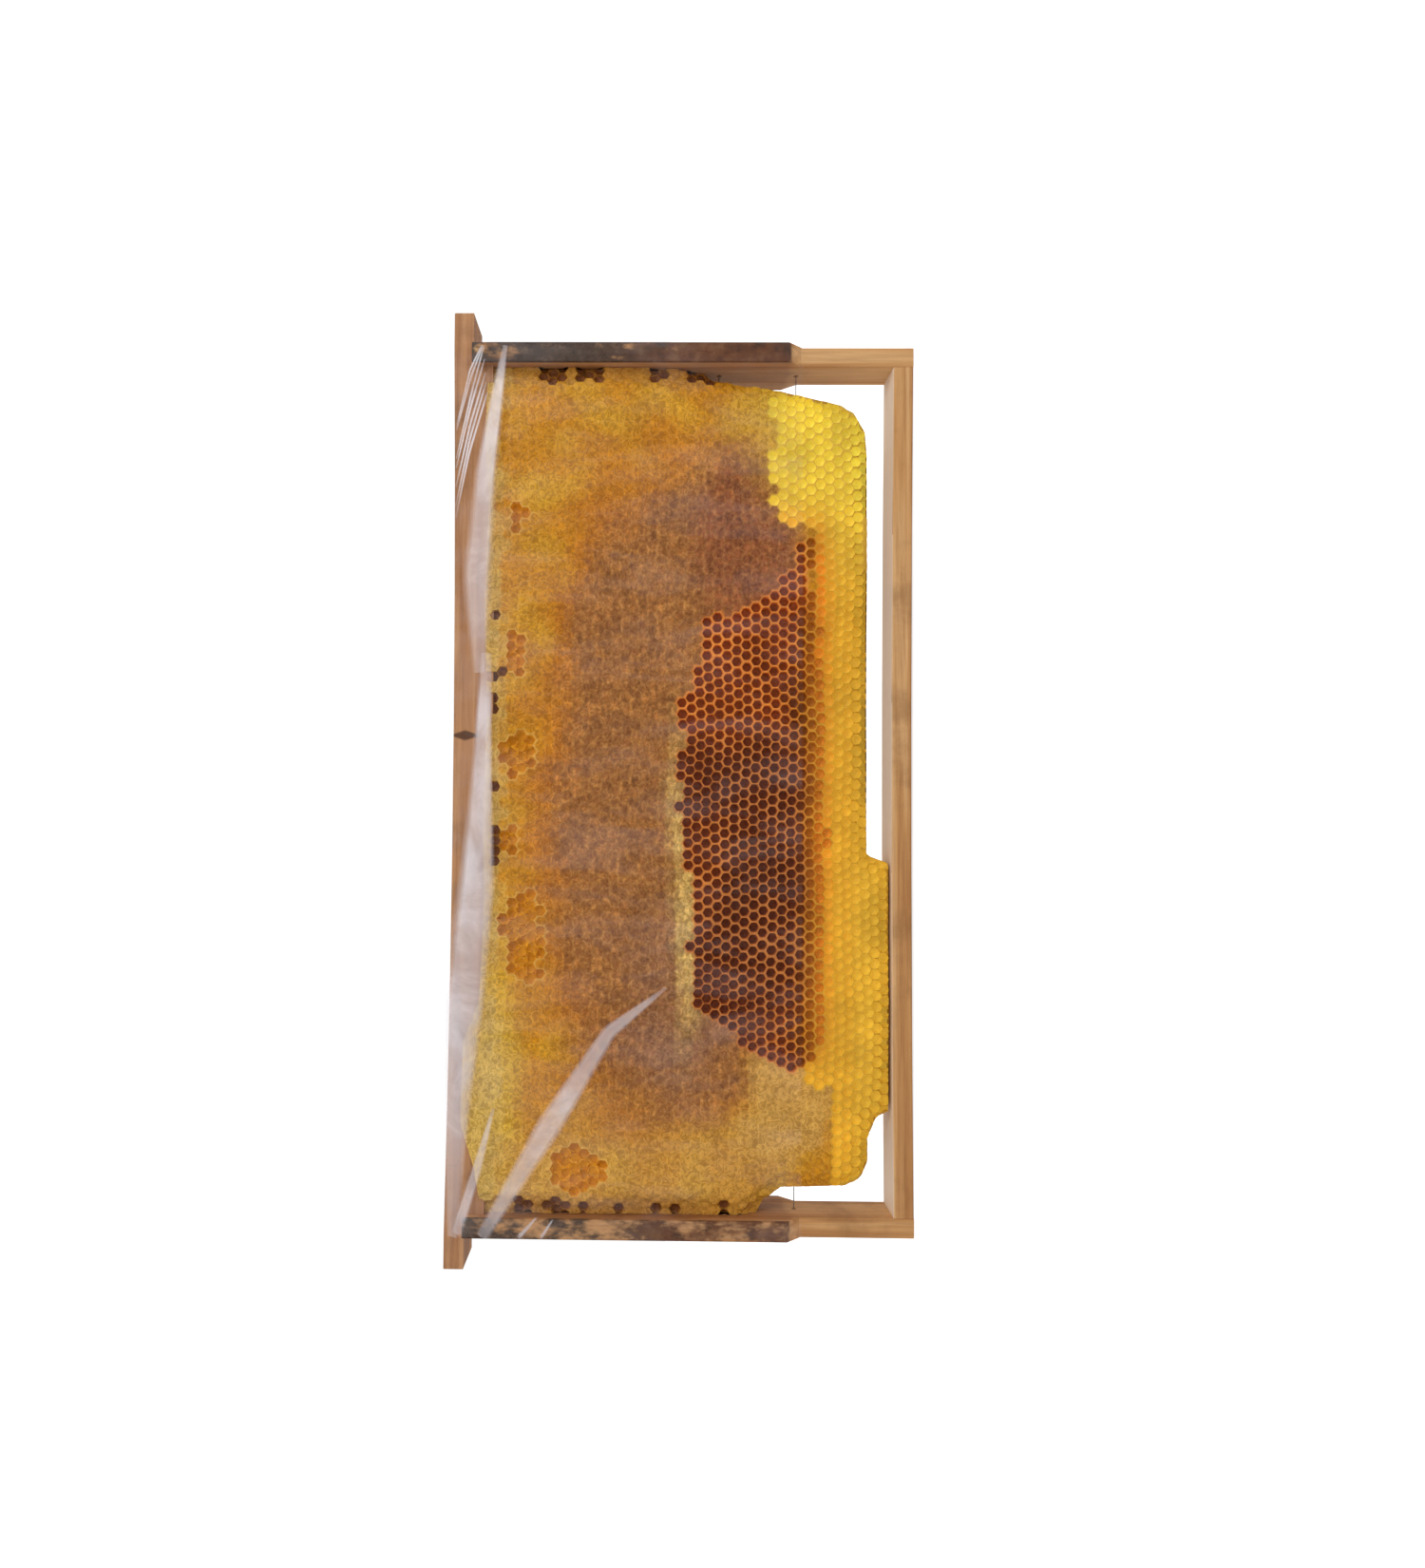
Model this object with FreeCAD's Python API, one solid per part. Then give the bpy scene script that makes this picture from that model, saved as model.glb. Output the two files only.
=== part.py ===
import FreeCAD, Part
import math
import os

# A deep hive frame with self-spacing end bars, old comb on both sides of a wired wax foundation, and
# clear stretch film round its upper part. X runs along the top bar, Y through the comb, Z up. The
# origin is below the middle of the frame, on the plane that its feet stand on. Millimetres.

# Driving dimensions: the wooden frame
LUG_TO_LUG = 482.0
OVER_END_BARS = 448.0
HEIGHT = 234.0
TOP_BAR_WIDTH = 25.0
TOP_BAR_HEIGHT = 20.0
TOP_BAR_SAG = 2.0
LUG_THICKNESS = 10.0
NECK_WIDTH = 16.0
END_BAR_THICKNESS = 10.0
SHOULDER_WIDTH = 35.0
SHOULDER_BOTTOM = 64.5
BEVEL_BOTTOM = 57.0
FOOT_WIDTH = 22.0
BOTTOM_BAR_HEIGHT = 10.0
BOTTOM_BAR_RISE = 1.0
TENON_WIDTH = 12.0
EDGE_ROUND = 0.8

# Foundation and comb
GROOVE_WIDTH = 3.0
GROOVE_DEPTH = 4.0
FOUNDATION_THICKNESS = 1.2
FOUNDATION_END_GAP = 1.0
CELL_DEPTH = 12.0
COMB_LOWER_EDGE = 23.0

# Wire, eyelets and tacks
WIRE_HEIGHTS = (58.0, 98.0, 138.0, 178.0)
WIRE_RADIUS = 0.25
WIRE_STAND_OFF = 0.35
WIRE_BEND = 1.1
EYELET_LENGTH = 7.0
EYELET_OUTER = 1.3
EYELET_INNER = 0.8
FLANGE_RADIUS = 2.0
FLANGE_THICKNESS = 0.4
TACK_DISTANCE = 8.0
TACK_LENGTH = 8.0
TACK_RADIUS = 0.6
TACK_HEAD_RADIUS = 1.3
TACK_HEAD_THICKNESS = 0.4
TACK_LOOP = 0.9
TACK_HEAD_STAND_OFF = 0.9

# Nails
NAIL_RADIUS = 0.75
NAIL_HEAD_RADIUS = 1.5
NAIL_HEAD_THICKNESS = 0.7
NAIL_TIP = 2.0
NAIL_RECESS = 0.3
TOP_NAIL_LENGTH = 30.0
TOP_NAIL_SPREAD = 10.2
SIDE_NAIL_LENGTH = 24.0
BOTTOM_NAIL_LENGTH = 28.0
NAIL_ROW_INSET = 2.9

# Stretch film
FILM_WALL = 0.2
FILM_LOWER_EDGE = 57.0
FILM_END_STAND_OFF = 1.4
FILM_SLIT = 6.0

HALF = OVER_END_BARS / 2
INNER = HALF - END_BAR_THICKNESS
LUG_END = LUG_TO_LUG / 2
LUG_UNDERSIDE = HEIGHT - LUG_THICKNESS
NECK_BOTTOM = HEIGHT - TOP_BAR_HEIGHT
GROOVE_TOP = NECK_BOTTOM + GROOVE_DEPTH
SIDES = {"left": -1, "right": 1}
X_AXIS = FreeCAD.Vector(1, 0, 0)
Y_AXIS = FreeCAD.Vector(0, 1, 0)
Z_AXIS = FreeCAD.Vector(0, 0, 1)


def at(x, y, z):
    return FreeCAD.Vector(x, y, z)


def block(x0, x1, y0, y1, z0, z1):
    low = at(min(x0, x1), min(y0, y1), min(z0, z1))
    return Part.makeBox(abs(x1 - x0), abs(y1 - y0), abs(z1 - z0), low)


def line(a, b):
    return Part.LineSegment(a, b).toShape()


def arc(a, middle, b):
    return Part.Arc(a, middle, b).toShape()


def curve(points):
    spline = Part.BSplineCurve()
    spline.interpolate(points)
    return spline.toShape()


def polyline(points):
    return [line(a, b) for a, b in zip(points, points[1:])]


def extrude(edges, direction):
    return Part.Face(Part.Wire(edges)).extrude(direction)


def rounded_long_edges(shape, along, length, radius):
    """Round the outer edges that run the given way for at least the given length."""
    long_edges = []
    for edge in shape.Edges:
        first = edge.Vertexes[0].Point
        last = edge.Vertexes[-1].Point
        if abs((last - first).dot(along)) >= length:
            long_edges.append(edge)
    return shape.makeFillet(radius, long_edges)


def nail(point, direction, length):
    """A wire nail whose head lies at the point and whose tip lies the given way from it."""
    head = Part.makeCylinder(NAIL_HEAD_RADIUS, NAIL_HEAD_THICKNESS, point, direction)
    shank = Part.makeCylinder(NAIL_RADIUS, length - NAIL_TIP, point, direction)
    tip = Part.makeCone(NAIL_RADIUS, 0, NAIL_TIP, point + direction * (length - NAIL_TIP), direction)
    return head.fuse([shank, tip]).removeSplitter()


def top_nails(side):
    x = side * (INNER + NAIL_ROW_INSET)
    z = HEIGHT - NAIL_RECESS
    return [nail(at(x, y, z), -Z_AXIS, TOP_NAIL_LENGTH) for y in (-TOP_NAIL_SPREAD, TOP_NAIL_SPREAD)]


def side_nail(side):
    """It crosses the end bar's fork and the top bar's neck, from the back of the frame."""
    x = side * (HALF - NAIL_ROW_INSET)
    z = (NECK_BOTTOM + LUG_UNDERSIDE) / 2
    return [nail(at(x, SHOULDER_WIDTH / 2 - NAIL_RECESS, z), -Y_AXIS, SIDE_NAIL_LENGTH)]


def bottom_nail(side):
    x = side * (INNER + END_BAR_THICKNESS / 2)
    return [nail(at(x, 0, NAIL_RECESS), Z_AXIS, BOTTOM_NAIL_LENGTH)]


def groove():
    """The space cut up into the top bar for the foundation's edge."""
    half_width = GROOVE_WIDTH / 2
    return block(-INNER, INNER, -half_width, half_width, NECK_BOTTOM - TOP_BAR_HEIGHT, GROOVE_TOP)


def top_bar():
    """Full height between the end bars, a neck in each end bar's fork, and a lug past it."""
    outline = polyline([
        at(-HALF, 0, HEIGHT),
        at(-LUG_END, 0, HEIGHT),
        at(-LUG_END, 0, LUG_UNDERSIDE),
        at(-HALF, 0, LUG_UNDERSIDE),
        at(-HALF, 0, NECK_BOTTOM),
        at(-INNER, 0, NECK_BOTTOM),
    ])
    outline.append(arc(at(-INNER, 0, NECK_BOTTOM), at(0, 0, NECK_BOTTOM - TOP_BAR_SAG),
                       at(INNER, 0, NECK_BOTTOM)))
    outline += polyline([
        at(INNER, 0, NECK_BOTTOM),
        at(HALF, 0, NECK_BOTTOM),
        at(HALF, 0, LUG_UNDERSIDE),
        at(LUG_END, 0, LUG_UNDERSIDE),
        at(LUG_END, 0, HEIGHT),
        at(HALF, 0, HEIGHT),
    ])
    outline.append(arc(at(HALF, 0, HEIGHT), at(0, 0, HEIGHT - TOP_BAR_SAG), at(-HALF, 0, HEIGHT)))
    bar = extrude(outline, Y_AXIS * TOP_BAR_WIDTH)
    bar.translate(Y_AXIS * (-TOP_BAR_WIDTH / 2))
    bar = rounded_long_edges(bar, X_AXIS, OVER_END_BARS - 1, EDGE_ROUND)
    waste = [groove()]
    for side in SIDES.values():
        for front in (-1, 1):
            waste.append(block(side * INNER, side * HALF, front * NECK_WIDTH / 2, front * TOP_BAR_WIDTH,
                               0, LUG_UNDERSIDE))
    return bar.cut(waste)


def end_bar(side):
    """Wide shoulder that spaces the frame from the next one, narrow foot, and a fork at each end."""
    wide = SHOULDER_WIDTH / 2
    foot = FOOT_WIDTH / 2
    outline = polyline([
        at(0, -foot, 0),
        at(0, foot, 0),
        at(0, foot, BEVEL_BOTTOM),
        at(0, wide, SHOULDER_BOTTOM),
        at(0, wide, LUG_UNDERSIDE),
        at(0, -wide, LUG_UNDERSIDE),
        at(0, -wide, SHOULDER_BOTTOM),
        at(0, -foot, BEVEL_BOTTOM),
        at(0, -foot, 0),
    ])
    bar = extrude(outline, X_AXIS * END_BAR_THICKNESS)
    bar = rounded_long_edges(bar, Z_AXIS, BEVEL_BOTTOM - 1, EDGE_ROUND)
    bar.translate(X_AXIS * (INNER if side > 0 else -HALF))
    waste = [
        block(side * INNER, side * HALF, -NECK_WIDTH / 2, NECK_WIDTH / 2, NECK_BOTTOM, HEIGHT),
        block(side * INNER, side * HALF, -TENON_WIDTH / 2, TENON_WIDTH / 2, 0, BOTTOM_BAR_HEIGHT),
    ]
    outwards = X_AXIS * side
    for z in WIRE_HEIGHTS:
        waste.append(Part.makeCylinder(EYELET_OUTER, END_BAR_THICKNESS, at(side * INNER, 0, z), outwards))
        recess = at(side * (HALF - FLANGE_THICKNESS), 0, z)
        waste.append(Part.makeCylinder(FLANGE_RADIUS, FLANGE_THICKNESS, recess, outwards))
    return bar.cut(waste)


def bottom_bar():
    """A flat bar, risen a little in the middle, with a tenon in each end bar's lower fork."""
    half_width = FOOT_WIDTH / 2
    outline = [arc(at(-INNER, 0, 0), at(0, 0, BOTTOM_BAR_RISE), at(INNER, 0, 0))]
    outline += polyline([
        at(INNER, 0, 0),
        at(HALF, 0, 0),
        at(HALF, 0, BOTTOM_BAR_HEIGHT),
        at(INNER, 0, BOTTOM_BAR_HEIGHT),
    ])
    outline.append(arc(at(INNER, 0, BOTTOM_BAR_HEIGHT), at(0, 0, BOTTOM_BAR_HEIGHT + BOTTOM_BAR_RISE),
                       at(-INNER, 0, BOTTOM_BAR_HEIGHT)))
    outline += polyline([
        at(-INNER, 0, BOTTOM_BAR_HEIGHT),
        at(-HALF, 0, BOTTOM_BAR_HEIGHT),
        at(-HALF, 0, 0),
        at(-INNER, 0, 0),
    ])
    bar = extrude(outline, Y_AXIS * FOOT_WIDTH)
    bar.translate(Y_AXIS * -half_width)
    bar = rounded_long_edges(bar, X_AXIS, 2 * INNER - 1, EDGE_ROUND)
    waste = []
    for side in SIDES.values():
        for front in (-1, 1):
            waste.append(block(side * INNER, side * HALF, front * TENON_WIDTH / 2, front * FOOT_WIDTH,
                               -1, HEIGHT))
    return bar.cut(waste)


def comb_outline():
    """The comb hangs from the top bar, joins both end bars higher up, and reaches the bottom bar only
    along one stretch left of the middle."""
    right_edge = [
        at(INNER, 0, 112),
        at(203, 0, 104),
        at(196, 0, 66),
        at(190, 0, 36),
        at(178, 0, COMB_LOWER_EDGE),
    ]
    foot_right = [
        at(-34, 0, COMB_LOWER_EDGE),
        at(-37, 0, 16),
        at(-42, 0, BOTTOM_BAR_HEIGHT),
    ]
    left_edge = [
        at(-160, 0, BOTTOM_BAR_HEIGHT),
        at(-166, 0, 19),
        at(-180, 0, COMB_LOWER_EDGE),
        at(-195, 0, 27),
        at(-200, 0, 44),
        at(-200, 0, 68),
        at(-INNER, 0, 80),
    ]
    edges = [curve(right_edge), line(right_edge[-1], foot_right[0])]
    edges += [curve(foot_right), line(foot_right[-1], left_edge[0]), curve(left_edge)]
    edges += polyline([left_edge[-1], at(-INNER, 0, GROOVE_TOP), at(INNER, 0, GROOVE_TOP), right_edge[0]])
    return edges


def comb(front, bars):
    """The cells on one side of the foundation, as one solid that ends at the bars."""
    body = extrude(comb_outline(), Y_AXIS * (front * CELL_DEPTH))
    body.translate(Y_AXIS * (front * FOUNDATION_THICKNESS / 2))
    above_bar_underside = block(-HALF, HALF, -CELL_DEPTH, CELL_DEPTH, NECK_BOTTOM, HEIGHT)
    return body.cut(bars + [groove(), above_bar_underside])


def wax_foundation(bars, wire_runs):
    """The sheet between the combs, with its top edge up in the top bar's groove."""
    sheet = extrude(comb_outline(), Y_AXIS * FOUNDATION_THICKNESS)
    sheet.translate(Y_AXIS * (-FOUNDATION_THICKNESS / 2))
    reach = INNER - FOUNDATION_END_GAP
    sheet = sheet.common(block(-reach, reach, -1, 1, 0, HEIGHT))
    return sheet.cut(bars + wire_runs)


def wire_runs():
    return [Part.makeCylinder(WIRE_RADIUS, 2 * INNER, at(-INNER, 0, z), X_AXIS) for z in WIRE_HEIGHTS]


def frame_wire():
    """One wire laced up and down through the end bars, with its ends looped round the two tacks."""
    outside = HALF + WIRE_STAND_OFF
    turn = outside - WIRE_BEND
    corner = WIRE_BEND * (1 - math.sqrt(0.5))
    path = []
    top = WIRE_HEIGHTS[-1]
    bottom = WIRE_HEIGHTS[0]

    def loop(z, up):
        """Three quarters of a turn round a tack, from the side that the wire comes along."""
        centre = at(-outside, TACK_LOOP, z)
        far_side = at(-outside, 2 * TACK_LOOP, z)
        half_way = arc(at(-outside, 0, z), centre + Z_AXIS * (up * TACK_LOOP), far_side)
        diagonal = TACK_LOOP * math.sqrt(0.5)
        rest = arc(far_side, centre + at(0, diagonal, -up * diagonal), centre - Z_AXIS * (up * TACK_LOOP))
        return [half_way, rest]

    def bend(side, z, up):
        """A quarter turn between a run along X at height z and the end bar's outer face."""
        return arc(at(side * turn, 0, z), at(side * (outside - corner), 0, z + up * corner),
                   at(side * outside, 0, z + up * WIRE_BEND))

    path += loop(top + TACK_DISTANCE, 1)
    path.append(line(at(-outside, 0, top + TACK_DISTANCE), at(-outside, 0, top + WIRE_BEND)))
    path.append(bend(-1, top, 1))
    leaving = 1
    heights = WIRE_HEIGHTS[::-1]
    for z, following in zip(heights, heights[1:]):
        path.append(line(at(-leaving * turn, 0, z), at(leaving * turn, 0, z)))
        path.append(bend(leaving, z, -1))
        path.append(line(at(leaving * outside, 0, z - WIRE_BEND),
                         at(leaving * outside, 0, following + WIRE_BEND)))
        path.append(bend(leaving, following, 1))
        leaving = -leaving
    path.append(line(at(turn, 0, bottom), at(-turn, 0, bottom)))
    path.append(bend(-1, bottom, -1))
    path.append(line(at(-outside, 0, bottom - WIRE_BEND), at(-outside, 0, bottom - TACK_DISTANCE)))
    path += loop(bottom - TACK_DISTANCE, -1)

    wire = Part.Wire(Part.__sortEdges__(path))
    start = wire.OrderedVertexes[0].Point
    first = wire.OrderedEdges[0]
    tangent = first.tangentAt(first.FirstParameter)
    section = Part.Wire(Part.makeCircle(WIRE_RADIUS, start, tangent))
    solid = wire.makePipeShell([section], True, False)
    volume_ratio = solid.Volume / (wire.Length * math.pi * WIRE_RADIUS ** 2)
    print("wire length %.1f, volume against section times length %.4f" % (wire.Length, volume_ratio))
    return solid


def eyelet(side, z):
    """A brass eyelet, pressed in from the end bar's outer face with its flange flush."""
    inwards = X_AXIS * -side
    face = at(side * HALF, 0, z)
    body = Part.makeCylinder(EYELET_OUTER, EYELET_LENGTH, face, inwards)
    flange = Part.makeCylinder(FLANGE_RADIUS, FLANGE_THICKNESS, face, inwards)
    bore = Part.makeCylinder(EYELET_INNER, EYELET_LENGTH, face, inwards)
    return body.fuse(flange).removeSplitter().cut(bore)


def wire_tack(z):
    """A small tack in the left end bar's outer face, which the wire's end is looped round."""
    top = -HALF - TACK_HEAD_STAND_OFF
    head = Part.makeCylinder(TACK_HEAD_RADIUS, TACK_HEAD_THICKNESS, at(top, TACK_LOOP, z), -X_AXIS)
    shank = Part.makeCylinder(TACK_RADIUS, TACK_LENGTH, at(top, TACK_LOOP, z), X_AXIS)
    return head.fuse(shank).removeSplitter()


def film_prism(reach, grow, lower_edge):
    """The space inside the film: straight up the shoulders, then in to the top bar's edges."""
    wide = SHOULDER_WIDTH / 2 + grow
    narrow = TOP_BAR_WIDTH / 2 + grow
    outline = polyline([
        at(-reach, -wide, lower_edge),
        at(-reach, -wide, LUG_UNDERSIDE + grow),
        at(-reach, -narrow, HEIGHT + grow),
        at(-reach, narrow, HEIGHT + grow),
        at(-reach, wide, LUG_UNDERSIDE + grow),
        at(-reach, wide, lower_edge),
        at(-reach, -wide, lower_edge),
    ])
    return extrude(outline, X_AXIS * (2 * reach))


def stretch_film():
    """Thin film stretched over the shoulders and the top bar; the lugs come out through slits in it."""
    reach = HALF + FILM_END_STAND_OFF
    outer = film_prism(reach + FILM_WALL, FILM_WALL, FILM_LOWER_EDGE)
    inner = film_prism(reach, 0, FILM_LOWER_EDGE - 1)
    half_width = TOP_BAR_WIDTH / 2
    slits = block(-LUG_END, LUG_END, -half_width, half_width, LUG_UNDERSIDE - FILM_SLIT, HEIGHT)
    return outer.cut([inner, slits])


def write(node, solids):
    shape = solids[0] if len(solids) == 1 else Part.makeCompound(solids)
    for solid in shape.Solids:
        assert solid.isValid(), node
    print("%-20s solids %d volume %.1f" % (node, len(shape.Solids), shape.Volume))
    shape.exportStep("parts/%s.step" % node)


def main():
    os.makedirs("parts", exist_ok=True)
    nails = {}
    for name, side in SIDES.items():
        nails["top_nails_" + name] = top_nails(side)
        nails["side_nail_" + name] = side_nail(side)
        nails["bottom_nail_" + name] = bottom_nail(side)
    tacks = {
        "wire_tack_start": wire_tack(WIRE_HEIGHTS[-1] + TACK_DISTANCE),
        "wire_tack_end": wire_tack(WIRE_HEIGHTS[0] - TACK_DISTANCE),
    }
    driven = [solid for group in nails.values() for solid in group] + list(tacks.values())

    bars = {
        "top_bar": top_bar(),
        "end_bar_left": end_bar(-1),
        "end_bar_right": end_bar(1),
        "bottom_bar": bottom_bar(),
    }
    crossing = [bars["top_bar"], bars["bottom_bar"]]
    write("comb_front", [comb(-1, crossing)])
    write("comb_back", [comb(1, crossing)])
    write("wax_foundation", [wax_foundation(crossing, wire_runs())])
    for node, bar in bars.items():
        write(node, [bar.cut(driven)])
    for node, group in nails.items():
        write(node, group)
    for node, tack in tacks.items():
        write(node, [tack])
    for name, side in SIDES.items():
        for number, z in enumerate(WIRE_HEIGHTS, 1):
            write("eyelet_%s_%d" % (name, number), [eyelet(side, z)])
    write("frame_wire", [frame_wire()])
    write("stretch_film", [stretch_film()])


main()
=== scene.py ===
import math

import bpy
import numpy as np
from mathutils import Euler, Matrix, Vector, noise


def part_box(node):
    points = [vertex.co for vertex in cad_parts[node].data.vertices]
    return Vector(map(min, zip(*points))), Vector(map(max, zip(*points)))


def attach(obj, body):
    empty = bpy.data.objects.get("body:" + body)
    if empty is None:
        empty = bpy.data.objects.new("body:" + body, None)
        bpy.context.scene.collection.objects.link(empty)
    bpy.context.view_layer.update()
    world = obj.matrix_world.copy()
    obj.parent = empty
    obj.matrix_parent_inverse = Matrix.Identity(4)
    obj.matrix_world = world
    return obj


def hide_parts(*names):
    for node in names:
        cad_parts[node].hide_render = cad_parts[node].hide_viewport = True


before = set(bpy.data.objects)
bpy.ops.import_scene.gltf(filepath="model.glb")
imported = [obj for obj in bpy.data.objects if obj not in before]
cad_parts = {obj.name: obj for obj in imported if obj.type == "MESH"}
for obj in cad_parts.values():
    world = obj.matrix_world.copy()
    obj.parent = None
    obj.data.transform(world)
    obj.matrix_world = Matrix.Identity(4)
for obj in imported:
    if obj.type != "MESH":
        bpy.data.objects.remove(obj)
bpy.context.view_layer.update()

MM = 0.001
TOP_BAR_HEIGHT = 20.0
BAR_HIGH = np.array(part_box("top_bar")[1]) / MM
END_LOW, END_HIGH = (np.array(corner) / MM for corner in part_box("end_bar_right"))
COMB_LOW = np.array(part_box("comb_front")[0]) / MM
FILM_LOW = np.array(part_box("stretch_film")[0]) / MM
INNER = END_LOW[0]
HALF = END_HIGH[0]
HEIGHT = BAR_HIGH[2]
BAR_UNDERSIDE = HEIGHT - TOP_BAR_HEIGHT
BAR_FACE = BAR_HIGH[1]
SHOULDER = END_HIGH[1]

# Honeycomb: worker cells, two upright walls each, so the rows lie along X
CELL_PITCH = 5.4
ROW_PITCH = CELL_PITCH * math.sqrt(3) / 2
# Points round each cell
RING = 12
random = np.random.default_rng(7)


# ---------------------------------------------------------------- shape helpers

def smooth(edge0, edge1, value):
    """0 at edge0, 1 at edge1, smooth between; the edges may come in either order."""
    t = np.clip((np.asarray(value, float) - edge0) / (edge1 - edge0), 0, 1)
    return t * t * (3 - 2 * t)


def blob(x, z, cx, cz, rx, rz, soft=0.5):
    """1 inside an ellipse, falling to 0 over the soft share of its radius."""
    r = np.hypot((x - cx) / rx, (z - cz) / rz)
    return 1 - smooth(1 - soft / 2, 1 + soft / 2, r)


def ripple(x, z, size, seed, stretch=1.0):
    """Smooth noise from -1 to 1, with features of about that size, stretched along X."""
    flat_x = np.ravel(x) / (size * stretch)
    flat_z = np.ravel(z) / size
    out = [noise.noise(Vector((a, b, seed * 17.3))) for a, b in zip(flat_x, flat_z)]
    return np.array(out).reshape(np.shape(x)) * 1.6


def inside_polygon(x, z, corners):
    """Whether each point lies inside, by counting the sides that a line to its right crosses."""
    x, z = np.asarray(x, float), np.asarray(z, float)
    inside = np.zeros(x.shape, bool)
    for (x0, z0), (x1, z1) in zip(corners, corners[1:] + corners[:1]):
        crosses = (z0 > z) != (z1 > z)
        reach = x0 + (z - z0) * (x1 - x0) / np.where(z1 == z0, 1e-9, z1 - z0)
        inside ^= crosses & (x < reach)
    return inside


def distance_to_path(x, z, corners):
    """Distance to the nearest point of an open path."""
    best = np.full(np.shape(x), 1e9)
    for (x0, z0), (x1, z1) in zip(corners, corners[1:]):
        dx, dz = x1 - x0, z1 - z0
        t = np.clip(((x - x0) * dx + (z - z0) * dz) / max(dx * dx + dz * dz, 1e-9), 0, 1)
        best = np.minimum(best, np.hypot(x - x0 - t * dx, z - z0 - t * dz))
    return best


def new_object(name, vertices, faces):
    """A mesh piece that rides on the frame."""
    mesh = bpy.data.meshes.new(name)
    mesh.from_pydata([tuple(v) for v in vertices], [], faces)
    mesh.update()
    piece = bpy.data.objects.new(name, mesh)
    bpy.context.collection.objects.link(piece)
    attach(piece, "root")
    return piece


def paint(mesh, name, colours):
    """A colour for each vertex, linear RGB plus a fourth channel for the material's own use."""
    layer = mesh.color_attributes.new(name, "FLOAT_COLOR", "POINT")
    layer.data.foreach_set("color", np.asarray(colours, np.float32).ravel())
    mesh.color_attributes.active_color = layer


def mix(a, b, t):
    """Colours between a and b, one for each share in t."""
    t = np.asarray(t)[..., None]
    return a * (1 - t) + b * t


def srgb(red, green, blue):
    """A linear colour from the usual 0 to 255 values."""
    c = np.array([red, green, blue]) / 255
    return np.where(c <= 0.04045, c / 12.92, ((c + 0.055) / 1.055) ** 2.4)


# ---------------------------------------------------------------- node helpers

class Shader:
    """A material's node tree, with short calls for the nodes used here."""

    def __init__(self, name):
        self.material = bpy.data.materials.new(name)
        self.material.use_nodes = True
        self.tree = self.material.node_tree
        self.tree.nodes.clear()
        self.output = self.node("ShaderNodeOutputMaterial")

    def node(self, kind, **settings):
        made = self.tree.nodes.new(kind)
        for key, value in settings.items():
            setattr(made, key, value)
        return made

    def link(self, source, target):
        self.tree.links.new(source, target)

    def feed(self, target, value):
        if hasattr(value, "is_linked"):
            self.link(value, target)
        else:
            target.default_value = value

    def place(self, scale=(1, 1, 1), shift=(0, 0, 0)):
        coordinates = self.node("ShaderNodeTexCoord")
        mapping = self.node("ShaderNodeMapping")
        mapping.inputs["Scale"].default_value = scale
        mapping.inputs["Location"].default_value = shift
        self.link(coordinates.outputs["Object"], mapping.inputs["Vector"])
        return mapping.outputs["Vector"]

    def noise(self, scale, detail=4.0, rough=0.55, where=None, twist=0.0):
        made = self.node("ShaderNodeTexNoise")
        made.inputs["Scale"].default_value = scale
        made.inputs["Detail"].default_value = detail
        made.inputs["Roughness"].default_value = rough
        made.inputs["Distortion"].default_value = twist
        self.link(where or self.place(), made.inputs["Vector"])
        return made.outputs["Fac"]

    def ramp(self, value, stops):
        made = self.node("ShaderNodeValToRGB")
        elements = made.color_ramp.elements
        while len(elements) < len(stops):
            elements.new(0.5)
        for element, (position, colour) in zip(elements, stops):
            element.position = position
            element.color = (*colour, 1)
        self.link(value, made.inputs["Fac"])
        return made.outputs["Color"]

    def levels(self, value, low, high, out_low=0.0, out_high=1.0):
        made = self.node("ShaderNodeMapRange", interpolation_type="SMOOTHSTEP")
        sockets = ("From Min", "From Max", "To Min", "To Max")
        for key, number in zip(sockets, (low, high, out_low, out_high)):
            made.inputs[key].default_value = number
        self.link(value, made.inputs["Value"])
        return made.outputs["Result"]

    def math(self, operation, a, b=0.0):
        made = self.node("ShaderNodeMath", operation=operation)
        self.feed(made.inputs[0], a)
        self.feed(made.inputs[1], b)
        return made.outputs[0]

    def blend(self, factor, a, b, mode="MIX"):
        made = self.node("ShaderNodeMix", data_type="RGBA", blend_type=mode)
        self.feed(made.inputs["Factor"], factor)
        self.feed(made.inputs["A"], a)
        self.feed(made.inputs["B"], b)
        return made.outputs["Result"]

    def bump(self, height, strength, distance):
        made = self.node("ShaderNodeBump")
        made.inputs["Strength"].default_value = strength
        made.inputs["Distance"].default_value = distance
        self.link(height, made.inputs["Height"])
        return made.outputs["Normal"]

    def axis(self, letter):
        split = self.node("ShaderNodeSeparateXYZ")
        self.link(self.place(), split.inputs["Vector"])
        return split.outputs[letter]

    def facing(self, letter):
        """How far the surface faces along one of the object's own axes, from -1 to 1."""
        split = self.node("ShaderNodeSeparateXYZ")
        self.link(self.node("ShaderNodeTexCoord").outputs["Normal"], split.inputs["Vector"])
        return split.outputs[letter]

    def principled(self, colour, roughness, normal=None, **constants):
        made = self.node("ShaderNodeBsdfPrincipled")
        self.feed(made.inputs["Base Color"], colour)
        self.feed(made.inputs["Roughness"], roughness)
        if normal:
            self.link(normal, made.inputs["Normal"])
        for key, value in constants.items():
            made.inputs[key.replace("_", " ")].default_value = value
        self.link(made.outputs["BSDF"], self.output.inputs["Surface"])
        return made


def colour4(red, green, blue):
    return (*srgb(red, green, blue), 1.0)


def dress(names, material):
    """Puts the material in the slots of CAD pieces."""
    for name in names:
        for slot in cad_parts[name].material_slots:
            slot.material = material


# ---------------------------------------------------------------- comb

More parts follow.
